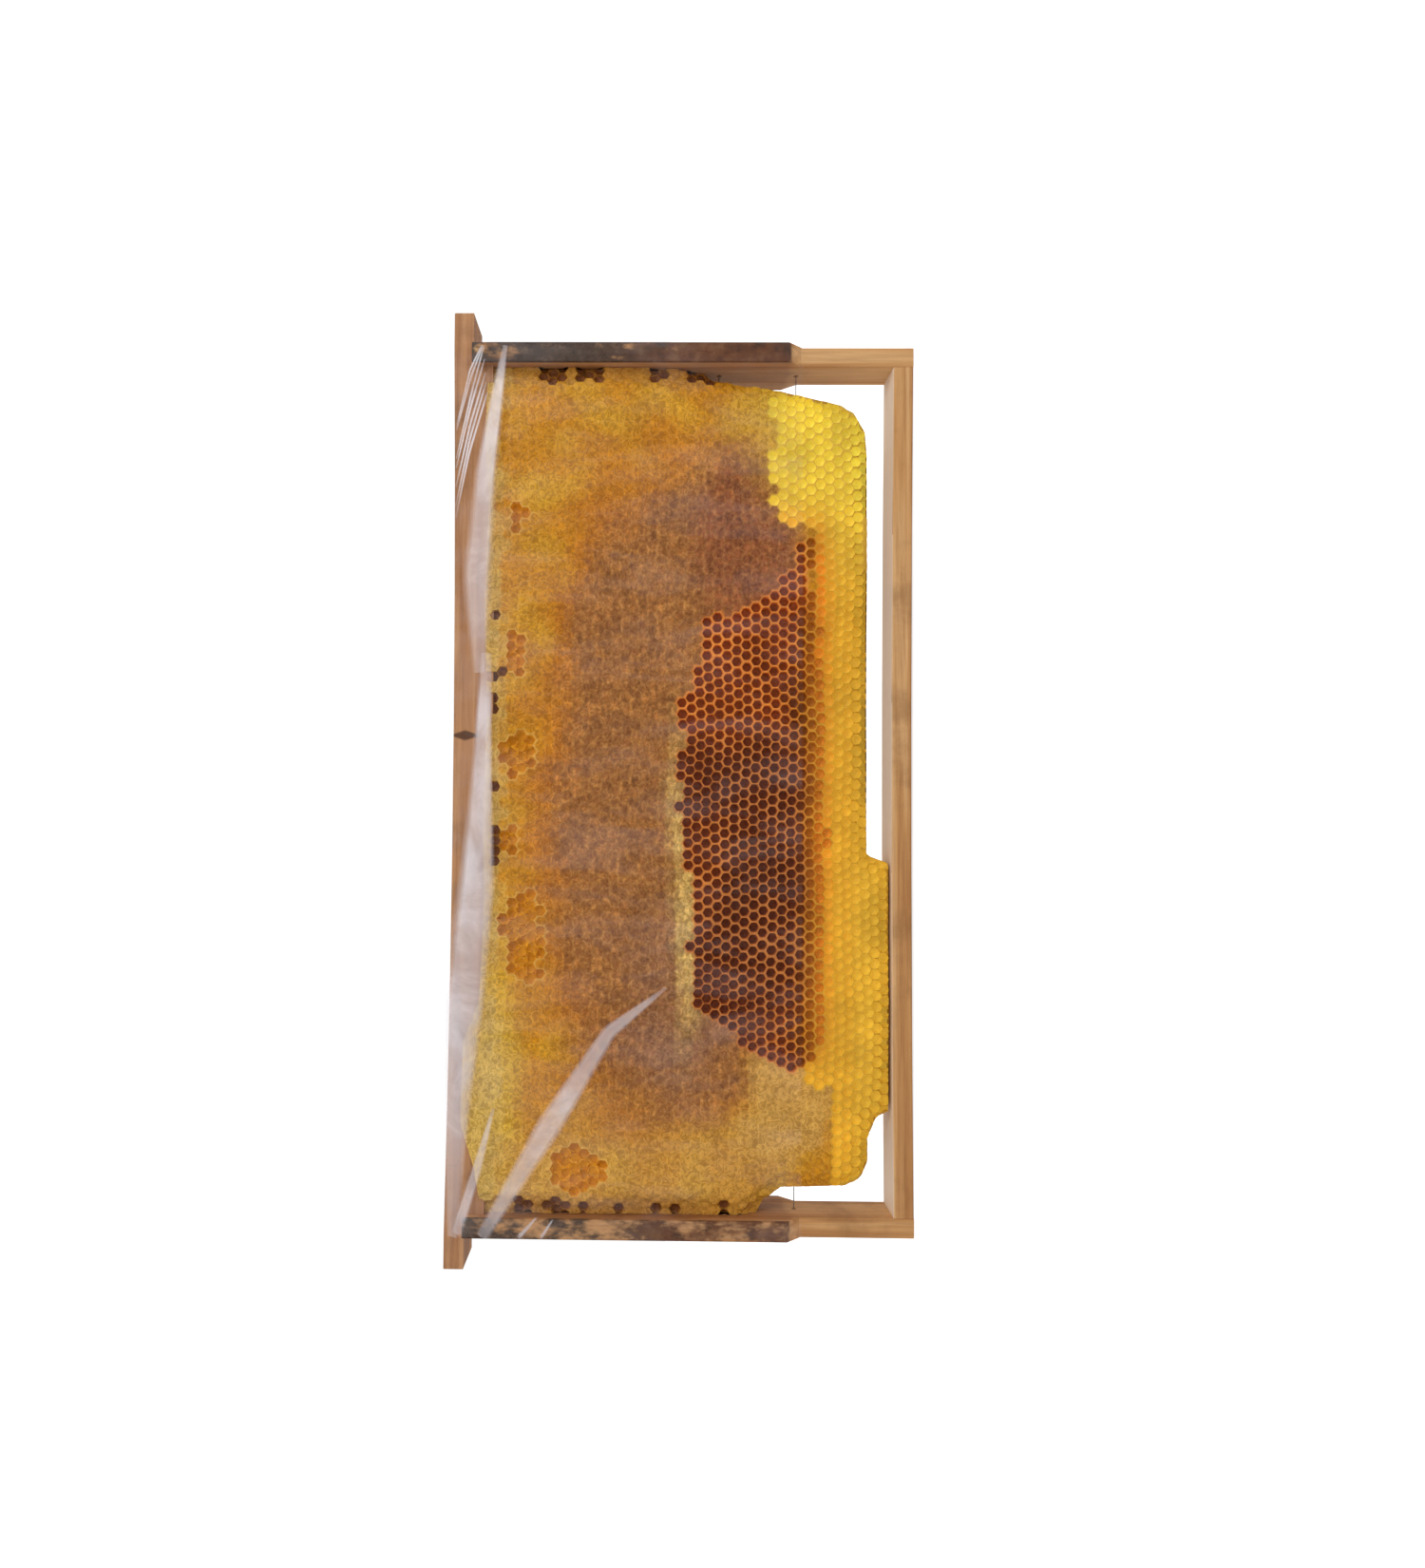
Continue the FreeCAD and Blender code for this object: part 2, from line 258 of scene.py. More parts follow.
# Outline of the comb on its front side, in millimetres. It leaves the right end bar halfway down,
# hangs free above the bottom bar, and comes down close to it only left of the middle.
OUTLINE = [
    (218, 216), (218, 112), (209, 101), (206, 88), (204, 72), (199, 50), (196, 37), (191, 29), (182, 24),
    (170, 23),
    (-34, 23), (-38, 12), (-162, 12), (-165, 18), (-175, 22.5), (-187, 22.5), (-195, 26), (-199, 34),
    (-200, 66), (-206, 74), (-218, 80), (-218, 214), (-190, 219), (-168, 226), (-128, 225), (-108, 217.5),
    (-60, 215.5), (-12, 216.5), (40, 215), (92, 217), (140, 215.5), (180, 217.5),
]
FREE_EDGE = OUTLINE[1:21]

# Heights of the gaps that the bees left in the wax along each end bar
RIGHT_GAPS = (190, 185, 180, 171, 166, 160, 131, 125, 113, 109, 103)
LEFT_GAPS = (198, 192, 185, 179, 172, 165, 147, 126, 119, 94)
# How far from the middle, and how near to those heights, a cell is when it is a gap
GAP_START, GAP_HALF_HEIGHT = 205.8, 2.4
# The comb's edge is drawn onto the outline where it is no further away than this
EDGE_SNAP = 3.6
WALL_REACH = INNER - 0.2

# Where the brood nest's cells stand open
OPEN_BROOD = [
    (134, 53), (112, 66), (100, 72), (94, 82), (86, 100), (66, 106), (52, 112), (20, 117), (-30, 114),
    (-60, 111), (-108, 110), (-120, 94), (-134, 78), (-140, 66), (-140, 52), (-110, 44), (-50, 40),
    (40, 44), (100, 48),
]


CAPPED, GOLD_CELL, BROOD_CELL, TORN_CELL, EDGE_HOLE = range(5)


def cell_kinds(x, z, front):
    """Which cells are capped, stand open, are torn open, or are gaps in the wax at the end bars."""
    wobble = 3.5 * ripple(x, z, 14, 3)
    kinds = np.full(np.shape(x), CAPPED)
    if front:
        lower_band = z < 53 + 3 * ripple(x, z, 25, 5)
        corner = (x > 132 + wobble) & (z < 70 + 2 * wobble)
        low_left = (x < -150) & (z > 40 + wobble)
        kinds[(lower_band | corner) & ~low_left] = GOLD_CELL
        kinds[inside_polygon(x + wobble, z + wobble, OPEN_BROOD) & (z > 44 + 0.5 * wobble)] = BROOD_CELL
        kinds[broken_share(x, z) > 0.5] = TORN_CELL
    else:
        kinds[inside_polygon(-0.8 * x + 20 + wobble, z - 14 + wobble, OPEN_BROOD)] = BROOD_CELL
        kinds[z < 40 + 6 * ripple(x, z, 30, 6)] = GOLD_CELL
    for end, gaps in ((1, RIGHT_GAPS), (-1, LEFT_GAPS)):
        distance = np.abs(z[:, None] - np.array(gaps)).min(axis=1)
        kinds[(end * x > GAP_START) & (distance < GAP_HALF_HEIGHT)] = EDGE_HOLE
    top_row = (np.abs(z - 209.5) < 2.6) & (np.abs(x - 48) < 92)
    kinds[top_row & (ripple(x, z, 6, 62) > 0.35)] = EDGE_HOLE
    return kinds


WAX_GOLD = srgb(198, 134, 16)
WAX_YELLOW = srgb(222, 184, 58)
WAX_ORANGE = srgb(188, 110, 20)
WAX_BROWN = srgb(160, 106, 58)
WAX_MAUVE = srgb(146, 84, 50)
WAX_GREY = srgb(150, 104, 76)
WAX_TAN = srgb(208, 162, 84)
WAX_PALE = srgb(236, 208, 124)
BROOD_RED = srgb(222, 126, 58)
BROOD_DARK = srgb(178, 98, 58)
HONEY_AMBER = srgb(212, 140, 14)
CELL_GOLD = srgb(234, 198, 70)
FRINGE_ORANGE = srgb(234, 164, 50)
CELL_LEMON = srgb(244, 234, 104)
WAX_BURR = srgb(212, 180, 100)
# Dark brown painted inside the gaps and holes in the wax, as painted shade
HOLE_BROWN = srgb(144, 86, 38)
WAX_WEB = srgb(184, 132, 60)


def comb_colour(x, z, front):
    """The wax's colour over the comb: gold rim, brown honey cappings, orange beside the brood."""
    if not front:
        x, z = 0.85 * x - 12, z - 4
    drift = 9 * ripple(x, z, 42, 11) + 4 * ripple(x, z, 13, 12)
    colour = WAX_GOLD * np.ones(np.shape(x) + (3,))
    colour = mix(colour, WAX_YELLOW, 0.35 * smooth(-0.3, 0.8, ripple(x, z, 20, 13)))
    colour = mix(colour, WAX_YELLOW, 0.7 * smooth(190, 208, z + 0.6 * drift) * smooth(-20, -150, x + drift))
    colour = mix(colour, WAX_ORANGE, 0.75 * blob(x + drift, z + drift, 2, 128, 176, 68, 0.35))
    colour = mix(colour, WAX_BROWN, 0.92 * brown_share(x, z, drift))
    colour = mix(colour, WAX_MAUVE, 0.85 * blob(x + drift, z + 0.5 * drift, 122, 84, 46, 26, 0.8))
    colour = mix(colour, WAX_GREY, 0.7 * blob(x + drift, z + drift, -104, 118, 44, 30, 0.8))
    colour = mix(colour, WAX_TAN, 0.85 * blob(x + drift, z + drift, -164, 60, 32, 28, 0.6))
    colour = mix(colour, WAX_TAN, 0.5 * smooth(-150, -185, x + drift) * smooth(60, 90, z))
    colour = mix(colour, WAX_PALE, 0.5 * blob(x + drift, z + 0.5 * drift, -52, 115, 62, 7, 1.4))
    colour = mix(colour, WAX_YELLOW, 0.8 * smooth(130, 180, x + drift) * smooth(96, 62, z))
    colour = mix(colour, WAX_GOLD, 0.6 * smooth(46, 38, z + 0.3 * drift))
    colour = mix(colour, WAX_WEB, 0.75 * smooth(202, 207, np.abs(x) + 0.25 * drift) * smooth(96, 112, z))
    colour = mix(colour, WAX_BURR, 0.75 * smooth(204, 213, z + 0.35 * drift + 3 * ripple(x, z, 6, 14)))
    return mix(colour, WAX_ORANGE, 0.6 * blob(x + drift, z, -20, 50, 90, 7, 0.9))


def brown_share(x, z, drift):
    """Where old honey cappings are brown and wrinkled."""
    core = blob(x + drift, z + drift, -6, 136, 148, 46, 0.5)
    core = np.maximum(core, blob(x + drift, z + 0.7 * drift, 118, 102, 52, 42, 0.6))
    return np.maximum(core, 0.9 * blob(x + drift, z + 0.6 * drift, -112, 122, 54, 50, 0.6))


def brood_colour(x, z):
    """Open brood cells: reddish towards the right, darkest in patches left of the middle."""
    drift = 7 * ripple(x, z, 26, 21)
    colour = BROOD_RED * np.ones(np.shape(x) + (3,))
    colour = mix(colour, BROOD_DARK, 0.45 * smooth(30, -20, x + drift))
    dark = blob(x + drift, z + drift, -62, 74, 44, 28, 0.9)
    dark = np.maximum(dark, blob(x + drift, z, 0, 84, 24, 34, 0.9))
    dark = np.maximum(dark, 0.9 * blob(x + drift, z + drift, -96, 88, 32, 28, 0.9))
    colour = mix(colour, BROOD_DARK, 0.9 * dark)
    return mix(colour, WAX_ORANGE, 0.9 * smooth(64, 48, z + 0.8 * drift))


def broken_share(x, z):
    """Patches near the top bar and the left end where the cappings are torn and honey shows."""
    wobble = 3 * ripple(x, z, 9, 31)
    patches = [(67, 200, 13, 5), (14, 198, 12, 9), (-28, 204, 8, 4), (-74, 196, 22, 10), (134, 199, 9, 4),
               (-190, 168, 11, 15)]
    out = np.zeros(np.shape(x))
    for cx, cz, rx, rz in patches:
        out = np.maximum(out, blob(x + wobble, z + wobble, cx, cz, rx, rz, 0.3))
    return out


def comb_height(x, z, front):
    """Distance of the cappings or cell rims from the middle of the comb, in millimetres."""
    height = 12.4 + 1.6 * smooth(90, 170, z) + 0.7 * ripple(x, z, 60, 41) + 0.35 * ripple(x, z, 17, 42)
    edge = distance_to_path(x, z, FREE_EDGE)
    height = height - 4.5 * smooth(11, 0, edge) ** 1.5
    height = height - 0.9 * smooth(198, 214, z) * (1 - smooth(-100, -125, x))
    height = height - 4.0 * smooth(201, 212, np.abs(x))
    return np.clip(height, 6.0, 15.6)


def nearest_on_outline(x, z):
    best, best_x, best_z = np.full(np.shape(x), 1e9), np.array(x, float), np.array(z, float)
    for (x0, z0), (x1, z1) in zip(OUTLINE, OUTLINE[1:] + OUTLINE[:1]):
        dx, dz = x1 - x0, z1 - z0
        t = np.clip(((x - x0) * dx + (z - z0) * dz) / max(dx * dx + dz * dz, 1e-9), 0, 1)
        near_x, near_z = x0 + t * dx, z0 + t * dz
        reach = np.hypot(x - near_x, z - near_z)
        closer = reach < best
        best = np.where(closer, reach, best)
        best_x, best_z = np.where(closer, near_x, best_x), np.where(closer, near_z, best_z)
    return best_x, best_z


def snap_inside(x, z, share):
    """Points that lie past the outline come back towards it by that share of the way."""
    outside = ~inside_polygon(x, z, OUTLINE)
    edge_x, edge_z = nearest_on_outline(x, z)
    x = np.where(outside, x + (edge_x - x) * share, x)
    return np.clip(x, -WALL_REACH, WALL_REACH), np.where(outside, z + (edge_z - z) * share, z)


def cell_centres():
    rows = np.arange(COMB_LOW[2] - ROW_PITCH, HEIGHT, ROW_PITCH)
    half = int(INNER / CELL_PITCH) + 1
    centres = []
    for number, z in enumerate(rows):
        for column in range(-half, half + 1):
            centres.append((column * CELL_PITCH + (number % 2) * CELL_PITCH / 2, z))
    return np.array(centres)


def bend_lattice(x, z):
    """Bees don't build on a ruler: the rows drift by up to a couple of millimetres."""
    return (x + 1.6 * ripple(x, z, 55, 51) + 0.35 * ripple(x, z, 8, 52),
            z + 1.5 * ripple(x, z, 55, 53) + 0.3 * ripple(x, z, 8, 54))


def hollow_look(kind, wax, dark, cx, cz, chance):
    """Depth, width, glow, raggedness and how far the rim has sunk, then rim, wall and bottom colours."""
    tight, glow, ragged, sunk = 1.0, 0.25, 0.0, 0.0
    # Painted shade: torn cells, gaps and brood cells get bottoms painted darker than their walls, and the
    # gaps are painted dark brown inside
    if kind == TORN_CELL:
        depth, glow, ragged, sunk = 2.8 + 0.8 * chance, 0.10, 1.0, 0.6
        rim_wax, inner, bottom = mix(HONEY_AMBER, WAX_PALE, 0.5), HONEY_AMBER, HONEY_AMBER * 0.85
    elif kind == EDGE_HOLE:
        depth, ragged, sunk = 2.6, 0.5, 0.6
        rim_wax, inner, bottom = wax, mix(wax, HOLE_BROWN, 0.7), HOLE_BROWN * 0.8
    elif kind == BROOD_CELL:
        fringe = float(smooth(60, 46, cz))
        depth = 4.6 - 2.0 * fringe
        rim_wax = mix(dark, CELL_GOLD, 0.12 + 0.3 * fringe)
        inner = mix(dark, FRINGE_ORANGE, 0.9 * fringe)
        bottom = inner * (0.65 + 0.4 * fringe)
    else:
        depth, tight, glow = 3.2, 1.02, 0.04
        lemon = 0.8 * smooth(80, 170, cx) + 0.2 * smooth(34, 26, cz)
        yellow = mix(CELL_GOLD, CELL_LEMON, lemon)
        yellow = mix(yellow, FRINGE_ORANGE, smooth(38, 50, cz) * smooth(150, 110, abs(cx)))
        rim_wax, inner, bottom = mix(yellow, WAX_GOLD, 0.55), yellow * 0.95, yellow
    return depth, tight, glow, ragged, sunk, rim_wax, inner, bottom


def build_comb(name, front):
    """One side of the comb as a sheet of cells that share their walls, closed back to the middle."""
    centres = cell_centres()
    moved_x, moved_z = bend_lattice(centres[:, 0], centres[:, 1])
    keep = inside_polygon(moved_x, moved_z, OUTLINE)
    centres = centres[keep]
    side = -1 if front else 1

    corner_angles = np.radians(30 + 60 * np.arange(6))
    corner_reach = CELL_PITCH / math.sqrt(3)
    hexagon = []
    for number in range(6):
        a, b = corner_angles[number], corner_angles[(number + 1) % 6]
        corner = np.array([math.cos(a), math.sin(a)]) * corner_reach
        following = np.array([math.cos(b), math.sin(b)]) * corner_reach
        hexagon += [corner, (corner + following) / 2]
    hexagon = np.array(hexagon)
    angles = np.arctan2(hexagon[:, 1], hexagon[:, 0])
    circle = np.c_[np.cos(angles), np.sin(angles)]

    centre_x, centre_z = bend_lattice(centres[:, 0], centres[:, 1])
    kinds = cell_kinds(centre_x, centre_z, front)

    vertices, faces, colours, shared = [], [], [], {}
    wrinkle = 0.3 + 0.7 * brown_share(centre_x, centre_z, 4 * ripple(centre_x, centre_z, 13, 12))

    def height_at(points):
        px, pz = snap_inside(*bend_lattice(points[:, 0], points[:, 1]), 0.8)
        return px, pz, comb_height(px, pz, front)

    all_rim = (centres[:, None, :] + hexagon[None]).reshape(-1, 2)
    rim_x, rim_z, rim_h = height_at(all_rim)
    rim_colour = mix(comb_colour(rim_x, rim_z, front), WAX_PALE, 0.06)
    keys = [tuple(k) for k in np.round(all_rim * 20).astype(int)]
    centre_h = comb_height(centre_x, centre_z, front)
    centre_colour = comb_colour(centre_x, centre_z, front)
    dark_colour = brood_colour(centre_x, centre_z)
    jitter = random.uniform(-1, 1, (len(centres), 6))

    # Walls with a gap or a torn cell on every side are themselves broken down
    merged = {}
    for at, key in enumerate(keys):
        merged[key] = merged.get(key, True) and kinds[at // RING] in (TORN_CELL, EDGE_HOLE)

    edge_use = {}
    for index in range(len(centres)):
        ring = []
        for step in range(RING):
            at = index * RING + step
            key = keys[at]
            if key not in shared:
                shared[key] = len(vertices)
                fallen = random.uniform(1.0, 2.8) if merged[key] else 0.0
                vertices.append((rim_x[at], side * (rim_h[at] - fallen), rim_z[at]))
                colours.append((*rim_colour[at], wrinkle[index]))
            ring.append(shared[key])
        for a, b in zip(ring, ring[1:] + ring[:1]):
            edge_use[(a, b)] = edge_use.get((a, b), 0) + 1
        cx, cz, height = centre_x[index], centre_z[index], centre_h[index]
        wax = centre_colour[index]
        base = len(vertices)
        if kinds[index] != CAPPED:
            look = hollow_look(kinds[index], wax, dark_colour[index], cx, cz, jitter[index, 0])
            depth, tight, glow, ragged, sunk, rim_wax, inner, bottom = look
            for at in range(index * RING, index * RING + RING):
                slot_number = shared[keys[at]]
                old = np.array(colours[slot_number][:3])
                tone = inner * random.uniform(0.7, 1.1) if merged[keys[at]] else 0.35 * old + 0.65 * rim_wax
                colours[slot_number] = (*tone, glow if merged[keys[at]] else 0.2)
            scale = 1 + 0.03 * jitter[index, 1]
            wall = mix(inner, rim_wax, 0.2)
            rings = [(0.90, 0.05 + sunk * depth, mix(rim_wax, inner, 1.5 * sunk), 0.35),
                     (0.84, 0.55 + sunk * depth, wall, 0.45),
                     (0.76, depth, bottom, 0.55)]
            for reach, down, tone, roundness in rings:
                outline = hexagon * (1 - roundness) + circle * CELL_PITCH / 2 * 1.03 * roundness
                outline = outline * reach * scale * tight + ragged * random.uniform(-0.7, 0.7, (RING, 2))
                for px, pz in zip(*snap_inside(cx + outline[:, 0], cz + outline[:, 1], 1.0)):
                    vertices.append((px, side * (height - down), pz))
                    colours.append((*tone, glow))
            vertices.append((cx, side * (height - depth - 0.8), cz))
            colours.append((*bottom, glow))
            tip = len(vertices) - 1
            layers = [ring] + [list(range(base + RING * k, base + RING * (k + 1))) for k in range(3)]
            for outer, inner_ring in zip(layers, layers[1:]):
                for a in range(RING):
                    b = (a + 1) % RING
                    faces.append((outer[a], outer[b], inner_ring[b], inner_ring[a]))
            last = layers[-1]
            faces += [(last[a], last[(a + 1) % RING], tip) for a in range(RING)]
        else:
            lift = 0.16 + 0.22 * jitter[index, 2]
            tone = wax * (0.94 + 0.14 * jitter[index, 3] * wrinkle[index])
            middle_x, middle_z = snap_inside(cx + hexagon[:, 0] * 0.62, cz + hexagon[:, 1] * 0.62, 1.0)
            for px, pz in zip(middle_x, middle_z):
                vertices.append((px, side * (height + 0.7 * lift), pz))
                colours.append((*tone, wrinkle[index]))
            tip_x, tip_z = cx + 0.3 * jitter[index, 4], cz + 0.3 * jitter[index, 5]
            vertices.append((tip_x, side * (height + lift), tip_z))
            colours.append((*(tone * (1 + 0.05 * jitter[index, 1])), wrinkle[index]))
            middle = list(range(base, base + RING))
            tip = len(vertices) - 1
            for a in range(RING):
                b = (a + 1) % RING
                faces.append((ring[a], ring[b], middle[b], middle[a]))
                faces.append((middle[a], middle[b], tip))

    back_of = {}
    for a, b in list(edge_use):
        if (b, a) in edge_use:
            continue
        for corner in (a, b):
            if corner not in back_of:
                x, y, z = vertices[corner]
                edge_x, edge_z = nearest_on_outline(x, z)
                if math.hypot(edge_x - x, edge_z - z) < EDGE_SNAP:
                    x, z = min(max(float(edge_x), -WALL_REACH), WALL_REACH), float(edge_z)
                    vertices[corner] = (x, y, z)
                back_of[corner] = len(vertices)
                vertices.append((x, side * 0.6, z))
                # Painted shade: the comb's edge wall is painted darker towards the middle of the comb
                colours.append((*(np.array(colours[corner][:3]) * 0.8), 1.0))
        faces.append((b, a, back_of[a], back_of[b]))
    faces = [f if front else f[::-1] for f in faces]
    piece = new_object(name, np.array(vertices) * MM, faces)
    paint(piece.data, "wax", colours)
    piece.data.polygons.foreach_set("use_smooth", np.ones(len(faces), bool))
    piece.data.set_sharp_from_angle(angle=math.radians(48))
    return piece


def wax_material(name):
    shader = Shader(name)
    attribute = shader.node("ShaderNodeVertexColor", layer_name="wax")
    # The fourth channel holds the wrinkle amount on cappings; on open cells it sets a painted glow, which
    # fades as the channel rises
    wrinkle = attribute.outputs["Alpha"]
    # Streaks run along X, as old cappings wrinkle
    streaks = shader.noise(1.0, 4, 0.6, shader.place((170, 300, 460)), 0.2)
    mottle = shader.noise(330, 4, 0.6)
    blotch = shader.noise(60, 3, 0.5)
    shade = shader.ramp(streaks, [(0.32, (0.82, 0.76, 0.72)), (0.50, (1, 1, 1)), (0.66, (1.3, 1.32, 1.24))])
    flecks = shader.ramp(mottle, [(0.34, (0.74, 0.66, 0.58)), (0.52, (1, 1, 1)), (0.68, (1.3, 1.3, 1.2))])
    curls = shader.noise(290, 1.5, 0.5, twist=1.4)
    curl_dark, curl_light = (0.82, 0.77, 0.64), (1.2, 1.22, 1.26)
    curl_tone = shader.ramp(curls, [(0.38, curl_dark), (0.5, curl_light), (0.62, curl_dark)])
    wide = shader.ramp(blotch, [(0.3, (0.9, 0.86, 0.82)), (0.7, (1.1, 1.08, 1.02))])
    colour = shader.blend(wrinkle, attribute.outputs["Color"], shade, "MULTIPLY")
    colour = shader.blend(shader.levels(wrinkle, 0.1, 1, 0.1, 0.9), colour, flecks, "MULTIPLY")
    colour = shader.blend(shader.levels(wrinkle, 0.2, 0.3, 0.2, 1.0), colour, curl_tone, "MULTIPLY")
    colour = shader.blend(1.0, colour, wide, "MULTIPLY")
    height = shader.math("ADD", shader.math("MULTIPLY", streaks, 1.2), curls)
    normal = shader.bump(height, 0.55, 0.0006)
    roughness = shader.levels(mottle, 0.3, 0.7, 0.36, 0.6)
    made = shader.principled(colour, roughness, normal, Subsurface_Weight=0.18, Subsurface_Scale=0.002,
                             Subsurface_Radius=(1.0, 0.55, 0.2), Specular_IOR_Level=0.2)
    # Painted glow: open cells emit their own colour, standing in for daylight coming through their thin
    # walls
    shader.link(colour, made.inputs["Emission Color"])
    shader.link(shader.levels(wrinkle, 0.0, 0.22, 0.16, 0.0), made.inputs["Emission Strength"])
    return shader.material


comb_front = build_comb("comb_cells_front", True)
comb_back = build_comb("comb_cells_back", False)
for comb_piece, node in ((comb_front, "comb_front"), (comb_back, "comb_back")):
    comb_piece.data.materials.append(wax_material(node + "_wax"))
    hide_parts(node)


# ---------------------------------------------------------------- wood and metal

def wood(name, along, light, mid, dark, stain=None):
    """Pine with long grain along the given axis and a little grime."""
    shader = Shader(name)
    stretch = {"X": (3, 90, 90), "Z": (90, 90, 3)}[along]
    fine = {"X": (24, 700, 700), "Z": (700, 700, 24)}[along]
    rings = shader.noise(1.6, 3, 0.5, shader.place(stretch), 0.9)
    fibres = shader.noise(1.0, 5, 0.7, shader.place(fine), 0.2)
    grime = shader.noise(34, 5, 0.6)
    base = shader.ramp(rings, [(0.28, dark), (0.46, mid), (0.62, light), (0.8, mid)])
    fibre_stops = [(0.25, (0.74, 0.69, 0.64)), (0.55, (1, 1, 1)), (0.8, (1.12, 1.1, 1.06))]
    fibre_tone = shader.ramp(fibres, fibre_stops)
    colour = shader.blend(1.0, base, fibre_tone, "MULTIPLY")
    dirt = shader.levels(grime, 0.5, 0.75, 0.0, 0.5)
    colour = shader.blend(dirt, colour, (*(np.array(dark) * 0.55), 1.0))
    if stain:
        colour = stain(shader, colour)
    height = shader.math("ADD", fibres, shader.math("MULTIPLY", rings, 0.6))
    normal = shader.bump(height, 0.5, 0.0005)
    shader.principled(colour, shader.levels(fibres, 0.3, 0.7, 0.5, 0.75), normal, Specular_IOR_Level=0.35)
    return shader.material


def box_mask(shader, limits, ragged=0.004, scale=60):
    """1 inside the given range of each named axis, with ragged edges."""
    rough = shader.math("MULTIPLY", shader.math("SUBTRACT", shader.noise(scale, 4, 0.6), 0.5), 4 * ragged)
    mask = None
    for letter, (low, high) in limits.items():
        place = shader.math("ADD", shader.axis(letter), rough)
        above = shader.levels(place, low - ragged, low + ragged)
        below = shader.levels(place, high - ragged, high + ragged, 1.0, 0.0)
        part = shader.math("MULTIPLY", above, below)
        mask = part if mask is None else shader.math("MULTIPLY", mask, part)
    return mask


def propolis_stain(right):
    """Dark propolis over the shoulder's narrow faces, patchy on the left end bar; near the lugs its grey
    flecks are partly painted highlight.
    """
    def stain(shader, colour):
        front_edge = shader.levels(shader.math("ABSOLUTE", shader.axis("Y")), 0.0150, 0.0166)
        shoulder = box_mask(shader, {"Z": (0.058, 0.228)}, 0.002)
        mask = shader.math("MULTIPLY", front_edge, shoulder)
        patch = shader.noise(70, 5, 0.65, shader.place((1, 1, 0.55)))
        covered = (0.28, 0.42) if right else (0.40, 0.56)
        mask = shader.math("MULTIPLY", mask, shader.levels(patch, covered[0], covered[1], 0, 0.93))
        tone = shader.ramp(shader.noise(120, 4, 0.6), [(0.3, srgb(52, 26, 16)), (0.5, srgb(104, 58, 30)),
                                                      (0.7, srgb(136, 98, 66))])
        # Near the lugs: black propolis, with grey flecks that are partly painted highlight standing in for
        # glints on the film
        propolis_and_glints = shader.ramp(shader.noise(160, 5, 0.7), [(0.35, srgb(22, 18, 20)), (0.55, srgb(70, 60, 56)),
                                                       (0.72, srgb(120, 104, 84))])
        tone = shader.blend(shader.levels(shader.axis("Z"), 0.11, 0.17), tone, propolis_and_glints)
        colour = shader.blend(mask, colour, tone)
        inner_warm = box_mask(shader, {"Z": (0.062, 0.220)}, 0.003)
        warmth = shader.math("MULTIPLY", inner_warm, 0.35)
        return shader.blend(warmth, colour, colour4(150, 84, 40), "MULTIPLY")
    return stain


def top_bar_stain(shader, colour):
    """A dark knot on the front face, and grey patches of propolis over the bar."""
    across = shader.math("SUBTRACT", shader.axis("X"), 0.025)
    upright = shader.math("SUBTRACT", shader.axis("Z"), 0.226)
    wide = shader.math("MULTIPLY", shader.math("ABSOLUTE", across), 380)
    tall = shader.math("MULTIPLY", shader.math("ABSOLUTE", upright), 120)
    deep = shader.math("MULTIPLY", shader.math("ADD", shader.axis("Y"), BAR_FACE * MM), 200)
    reach = shader.math("ADD", shader.math("ADD", wide, tall), deep)
    knot = shader.levels(reach, 0.7, 1.25, 1.0, 0.0)
    colour = shader.blend(shader.math("MULTIPLY", knot, 0.85), colour, colour4(62, 30, 16))
    grey = shader.levels(shader.noise(26, 5, 0.6, shader.place((1, 1, 2))), 0.52, 0.72, 0, 0.35)
    return shader.blend(grey, colour, colour4(120, 92, 78))


def painted_light_top_face(shader, colour):
    """The bottom bar's upper face is painted paler than its sides: painted light standing in for a fill
    light.
    """
    upward = shader.levels(shader.facing("Z"), 0.6, 0.95, 0, 0.75)
    # Painted light: pale cream mixed over the faces that point up
    return shader.blend(upward, colour, colour4(244, 226, 204))


PINE = tuple(tuple(srgb(*c)) for c in ((222, 176, 122), (204, 152, 96), (176, 120, 68)))
OLD_PINE = tuple(tuple(srgb(*c)) for c in ((198, 148, 104), (178, 126, 84), (146, 96, 60)))
dress(["top_bar"], wood("top_bar_wood", "X", *OLD_PINE, top_bar_stain))
dress(["bottom_bar"], wood("bottom_bar_wood", "X", *PINE, painted_light_top_face))
dress(["end_bar_right"], wood("end_bar_right_wood", "Z", *PINE, propolis_stain(True)))
dress(["end_bar_left"], wood("end_bar_left_wood", "Z", *PINE, propolis_stain(False)))


def metal(name, bright, dull, roughness):
    shader = Shader(name)
    spots = shader.noise(900, 4, 0.6)
    colour = shader.ramp(spots, [(0.35, dull), (0.6, bright)])
    normal = shader.bump(spots, 0.25, 0.0001)
    worn = shader.levels(spots, 0.3, 0.7, roughness, roughness + 0.25)
    shader.principled(colour, worn, normal, Metallic=1.0)
    return shader.material


steel = metal("old_steel", tuple(srgb(168, 164, 160)), tuple(srgb(104, 84, 70)), 0.35)
brass = metal("old_brass", tuple(srgb(196, 160, 84)), tuple(srgb(132, 98, 48)), 0.3)
dress([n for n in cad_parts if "nail" in n or "tack" in n or n == "frame_wire"], steel)
dress([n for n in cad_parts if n.startswith("eyelet")], brass)


def foundation_material():
    shader = Shader("foundation_wax")
    mottle = shader.noise(300, 4, 0.6)
    colour = shader.ramp(mottle, [(0.3, tuple(srgb(188, 134, 52))), (0.7, tuple(srgb(230, 188, 96)))])
    shader.principled(colour, 0.5, shader.bump(mottle, 0.4, 0.0003), Subsurface_Weight=0.1,
                      Subsurface_Scale=0.001)
    return shader.material


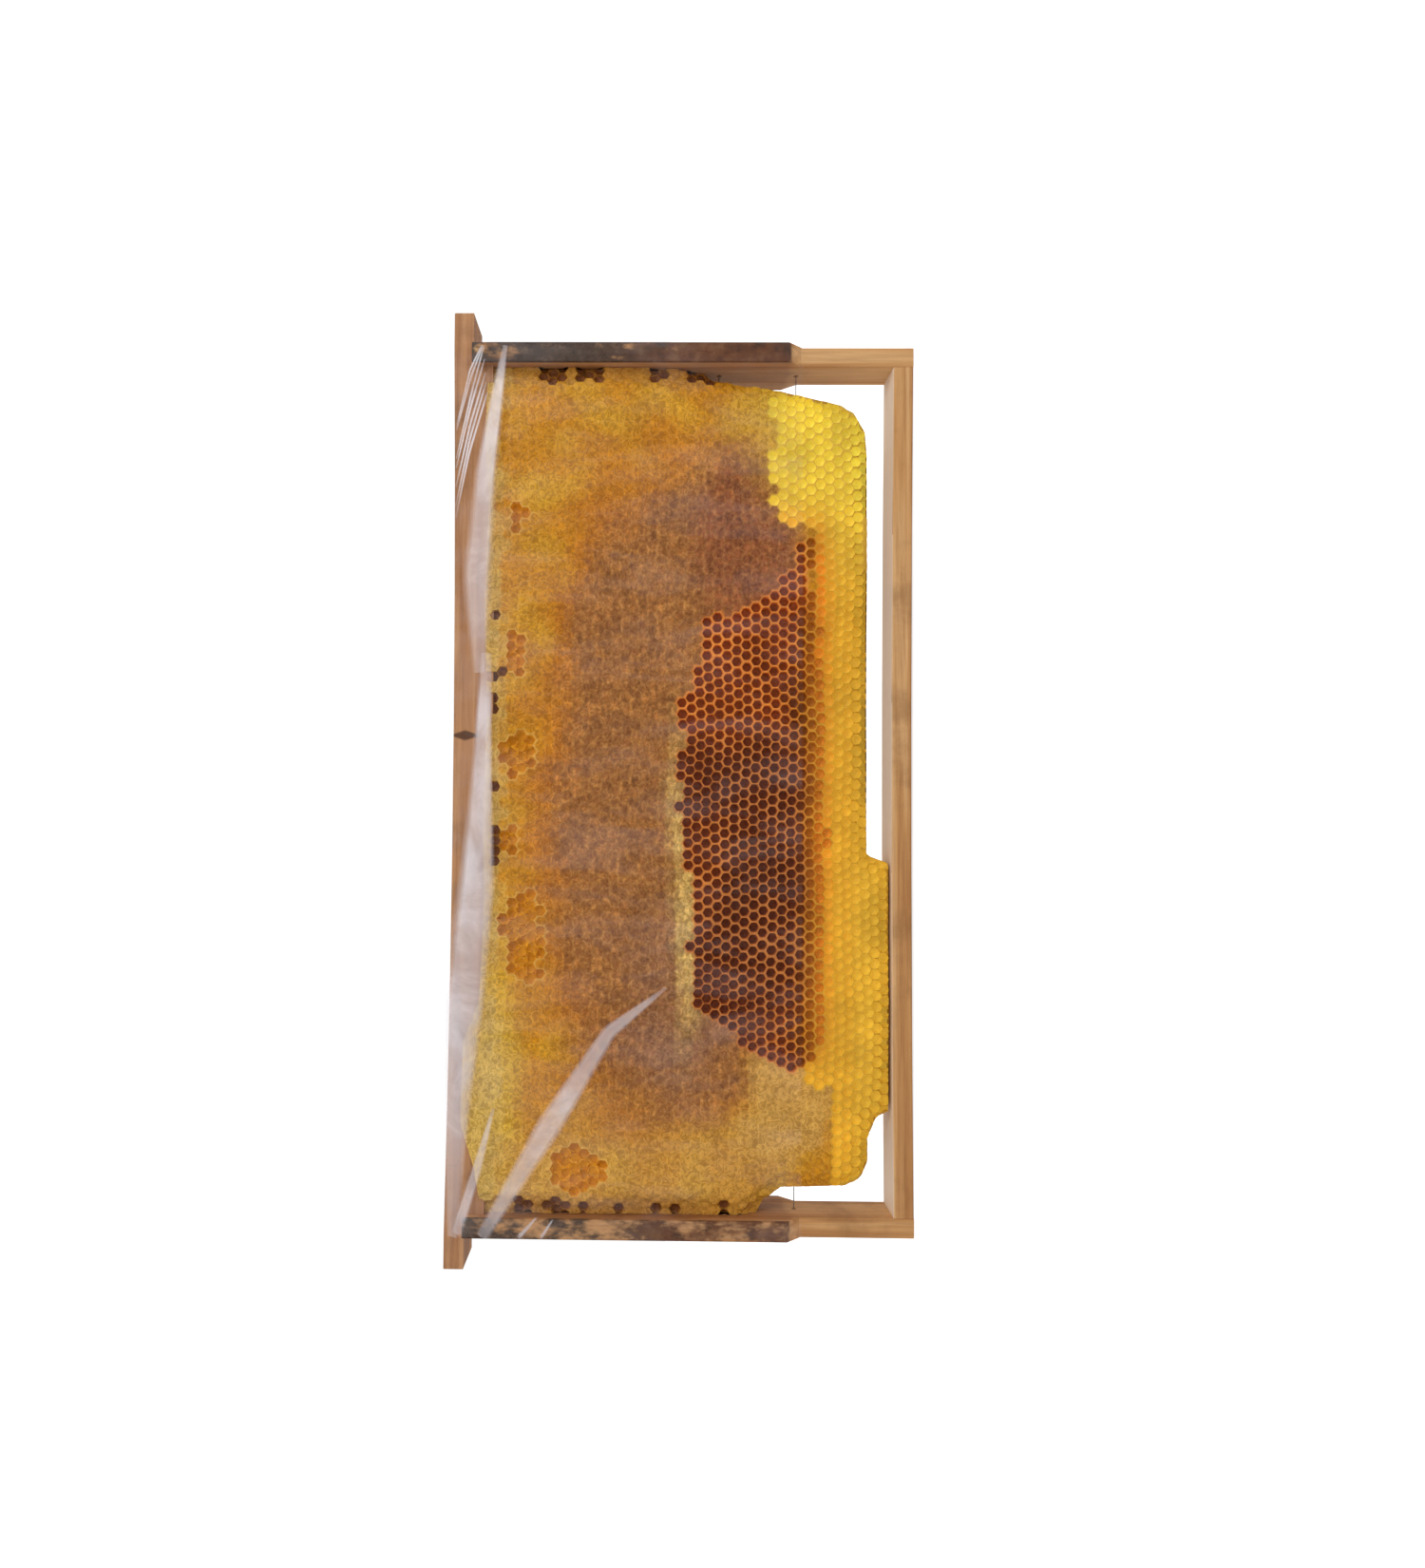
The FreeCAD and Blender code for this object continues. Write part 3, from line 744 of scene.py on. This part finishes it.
dress(["wax_foundation"], foundation_material())


# ---------------------------------------------------------------- stretch film

# The film's distance from the wood, and from the end bars' outer faces
FILM_GAP, FILM_END_GAP = 0.12, 1.2


def film_section(z):
    """Half-depth of the film at a height: out over the shoulders, in to the top bar's edge."""
    slope_start = HEIGHT - 10
    wide, narrow = SHOULDER + FILM_GAP, BAR_FACE + FILM_GAP
    slope = (narrow - wide) * (z - slope_start) / (HEIGHT + 0.1 - slope_start)
    return np.where(z < slope_start, wide, wide + slope)


def build_film():
    """One wrap round the frame and over the top bar, drawn tight, with small creases."""
    reach = HALF + FILM_END_GAP
    low, high = FILM_LOW[2], HEIGHT + FILM_GAP
    columns = np.linspace(-reach, reach, 150)
    front_rows = np.linspace(low, high, 60)
    across = np.linspace(-1, 1, 9)[1:-1]
    profile = [(-film_section(z), z) for z in front_rows]
    profile += [(t * (BAR_FACE + FILM_GAP), high) for t in across]
    profile += [(film_section(z), z) for z in front_rows[::-1]]
    profile = np.array(profile, float)
    grid_x, row = np.meshgrid(columns, np.arange(len(profile)))
    y, z = profile[row, 0], profile[row, 1]
    crease = 0.25 * ripple(grid_x + z, z - 0.4 * grid_x, 16, 71) * smooth(0, 14, reach - np.abs(grid_x))
    slack = 2.2 * smooth(0, 60, reach - np.abs(grid_x))
    slack = slack * smooth(0, 18, z - low) * smooth(0, 30, HEIGHT - 8 - z)
    inward = np.sign(y) * (slack - crease - 0.25)
    y = np.where(np.abs(y) > BAR_FACE + 1, y - inward, y)
    vertices = np.stack([grid_x, y, z], -1).reshape(-1, 3)
    wide = len(columns)
    faces = []
    for j in range(len(profile) - 1):
        for i in range(wide - 1):
            faces.append((j * wide + i, j * wide + i + 1, (j + 1) * wide + i + 1, (j + 1) * wide + i))
    vertices = list(map(tuple, vertices))
    # The ends go straight across the end bars, below the lugs
    for end in (-1, 1):
        column = 0 if end < 0 else wide - 1
        front = [j * wide + column for j in range(len(front_rows))]
        back = [(len(profile) - 1 - j) * wide + column for j in range(len(front_rows))]
        for j in range(len(front_rows) - 1):
            if front_rows[j + 1] > BAR_UNDERSIDE + 4:
                break
            quad = (front[j], front[j + 1], back[j + 1], back[j])
            faces.append(quad if end < 0 else quad[::-1])
    return new_object("stretch_film_wrap", np.array(vertices) * MM, faces)


def film_material(name, haze_low, haze_high, stripe, fading=False):
    """Clear film: mostly see-through, with a milky haze in streaks and a glossy surface."""
    shader = Shader(name)
    streaks = shader.noise(1.0, 5, 0.6, shader.place(stripe), 0.5)
    haze = shader.levels(streaks, 0.4, 0.7, haze_low, haze_high)
    if fading:
        thick = shader.node("ShaderNodeVertexColor", layer_name="thickness")
        haze = shader.math("MULTIPLY", haze, thick.outputs["Color"])
    clear = shader.node("ShaderNodeBsdfTransparent")
    milky = shader.node("ShaderNodeBsdfPrincipled")
    milky.inputs["Base Color"].default_value = colour4(252, 246, 250)
    milky.inputs["Roughness"].default_value = 0.3
    milky.inputs["Specular IOR Level"].default_value = 0.25
    wave = shader.noise(70, 3, 0.5)
    shader.link(shader.bump(wave, 0.25, 0.002), milky.inputs["Normal"])
    both = shader.node("ShaderNodeMixShader")
    shader.link(haze, both.inputs["Fac"])
    shader.link(clear.outputs["BSDF"], both.inputs[1])
    shader.link(milky.outputs["BSDF"], both.inputs[2])
    shader.link(both.outputs["Shader"], shader.output.inputs["Surface"])
    return shader.material


film = build_film()
film.data.polygons.foreach_set("use_smooth", np.ones(len(film.data.polygons), bool))
film.data.materials.append(film_material("clear_film", 0.0, 0.05, (60, 60, 16)))
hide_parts("stretch_film")


def build_fold(name, points, widths, lift=0.3, ridges=2):
    """A gathered fold of film: a ribbon along the points, corrugated across its width."""
    centre = np.array(points, float)
    lengths = np.r_[0, np.cumsum(np.hypot(*np.diff(centre, axis=0).T))]
    t = np.linspace(0, lengths[-1], max(8, int(lengths[-1] / 3)))
    x, z = np.interp(t, lengths, centre[:, 0]), np.interp(t, lengths, centre[:, 1])
    width = np.interp(t, lengths, widths)
    heading = np.gradient(np.c_[x, z], axis=0)
    heading /= np.linalg.norm(heading, axis=1)[:, None]
    normal = np.c_[-heading[:, 1], heading[:, 0]]
    across = np.linspace(-0.5, 0.5, 4 * ridges + 1)
    vertices = []
    for i in range(len(t)):
        for s in across:
            px, pz = x[i] + normal[i, 0] * s * width[i], z[i] + normal[i, 1] * s * width[i]
            ridge = lift * abs(math.sin(math.pi * ridges * (s + 0.5) + 0.6 * math.sin(t[i] / 9)))
            pz = min(pz, HEIGHT)
            depth = film_section(np.array(pz)) - 0.1 + ridge * min(1.0, width[i] / 3)
            vertices.append((px, -depth, pz))
    wide = len(across)
    faces = []
    for i in range(len(t) - 1):
        for j in range(wide - 1):
            a = i * wide + j
            faces.append((a, a + 1, a + 1 + wide, a + wide))
    piece = new_object(name, np.array(vertices) * MM, faces)
    piece.data.polygons.foreach_set("use_smooth", np.ones(len(faces), bool))
    ends = smooth(0, 0.12, t / t[-1]) * smooth(1, 0.8, t / t[-1])
    sides = smooth(0.5, 0.22, np.abs(across) + 0.06 * random.uniform(-1, 1, wide))
    fade = np.outer(0.35 + 0.65 * ends, sides)
    paint(piece.data, "thickness", np.repeat(fade.ravel(), 4))
    return piece


FOLDS = {
    "film_fold_right": ([(222, 207), (196, 211), (158, 216), (104, 220), (56, 218)], [3, 8, 12, 17, 8]),
    "film_fold_middle": ([(66, 215), (0, 217), (-50, 219), (-110, 226), (-160, 229), (-224, 229)],
                         [6, 12, 20, 24, 18, 6]),
    "film_fold_spike": ([(-160, 209), (-190, 217), (-222, 227)], [2, 6, 7]),
    "film_fold_long": ([(-100, 124), (-122, 152), (-168, 181), (-223, 214)], [2, 8, 14, 7]),
    "film_fold_short": ([(-213, 187), (-223, 196)], [1.5, 3]),
    "film_fold_shorter": ([(-214, 179), (-223, 185)], [1, 2.5]),
}
# Fine creases fan out over the top bar from the right lug
FAN_STARTS, FAN_ENDS, CREASES = (236, 196), (186, 132), 7
for number in range(CREASES):
    share = number / (CREASES - 1)
    start = FAN_STARTS[0] + (FAN_STARTS[1] - FAN_STARTS[0]) * share + random.uniform(-2, 2)
    end = FAN_ENDS[0] + (FAN_ENDS[1] - FAN_ENDS[0]) * share + random.uniform(-5, 5)
    FOLDS["film_crease_%d" % (number + 1)] = (
        [(min(start, 222), 219 - 3 * share), ((start + end) / 2, 225), (end, 232)], [1.0, 1.6, 1.0])
fold_material = film_material("film_fold", 0.34, 0.66, (26, 26, 26), fading=True)
for fold_name, (fold_points, fold_widths) in FOLDS.items():
    fold = build_fold(fold_name, fold_points, fold_widths)
    fold.data.materials.append(fold_material)


# ---------------------------------------------------------------- room, light and camera

ROOM_LIGHT = 0.78
KEY_POWER = 8.0
FLOOR_DROP = -0.0003


def build_stage():
    mesh = bpy.data.meshes.new("floor")
    corners = [(x, y, FLOOR_DROP) for x, y in ((-6, -6), (6, -6), (6, 6), (-6, 6))]
    mesh.from_pydata(corners, [], [(0, 1, 2, 3)])
    floor = bpy.data.objects.new("floor", mesh)
    bpy.context.collection.objects.link(floor)
    shader = Shader("pale_floor")
    made = shader.principled(colour4(225, 225, 225), 0.9)
    made.inputs["Emission Color"].default_value = (1, 1, 1, 1)
    seen = shader.node("ShaderNodeLightPath").outputs["Is Camera Ray"]
    shader.link(shader.math("MULTIPLY", seen, 0.75), made.inputs["Emission Strength"])
    mesh.materials.append(shader.material)


def area_light(name, place, size, power, target=(0, 0, 0.12)):
    data = bpy.data.lights.new(name, "AREA")
    data.shape = "DISK"
    data.size = size
    data.energy = power
    lamp = bpy.data.objects.new(name, data)
    lamp.location = place
    lamp.rotation_euler = (Vector(target) - Vector(place)).to_track_quat("-Z", "Y").to_euler()
    bpy.context.collection.objects.link(lamp)


def build_light():
    world = bpy.data.worlds.new("white_room")
    world.use_nodes = True
    nodes, links = world.node_tree.nodes, world.node_tree.links
    # The room reads white in the picture, and lights the frame more softly than that
    strength = nodes.new("ShaderNodeMapRange")
    strength.inputs["To Min"].default_value = ROOM_LIGHT
    strength.inputs["To Max"].default_value = 1.05
    links.new(nodes.new("ShaderNodeLightPath").outputs["Is Camera Ray"], strength.inputs["Value"])
    links.new(strength.outputs["Result"], nodes["Background"].inputs["Strength"])
    nodes["Background"].inputs["Color"].default_value = (1, 1, 1, 1)
    bpy.context.scene.world = world
    area_light("key", (0.9, -1.3, 1.1), 0.8, KEY_POWER)


# The camera stands square on to the front, leaning by these degrees about its own axes
CAMERA_PLACE = (-0.0128, -0.5132, 0.1338)
CAMERA_LEAN = (-1.581, -0.771, -0.387)
CAMERA_LENS, CAMERA_SHIFT = 22.87, 0.05


def build_camera():
    """Square on to the front, turned so that the top bar stands at the left, and a little low."""
    data = bpy.data.cameras.new("camera")
    data.sensor_width = 36
    data.sensor_fit = "AUTO"
    data.lens = CAMERA_LENS
    data.shift_x = CAMERA_SHIFT
    data.clip_start = 0.01
    camera = bpy.data.objects.new("camera", data)
    bpy.context.collection.objects.link(camera)
    right_up_back = Matrix(((0, 0, -1), (1, 0, 0), (0, -1, 0)))
    lean = Euler([math.radians(a) for a in CAMERA_LEAN]).to_matrix()
    turned = (lean @ right_up_back).transposed()
    camera.matrix_world = Matrix.Translation(CAMERA_PLACE) @ turned.to_4x4()
    bpy.context.scene.camera = camera


build_stage()
build_light()
build_camera()
bpy.context.scene.view_settings.view_transform = "Standard"
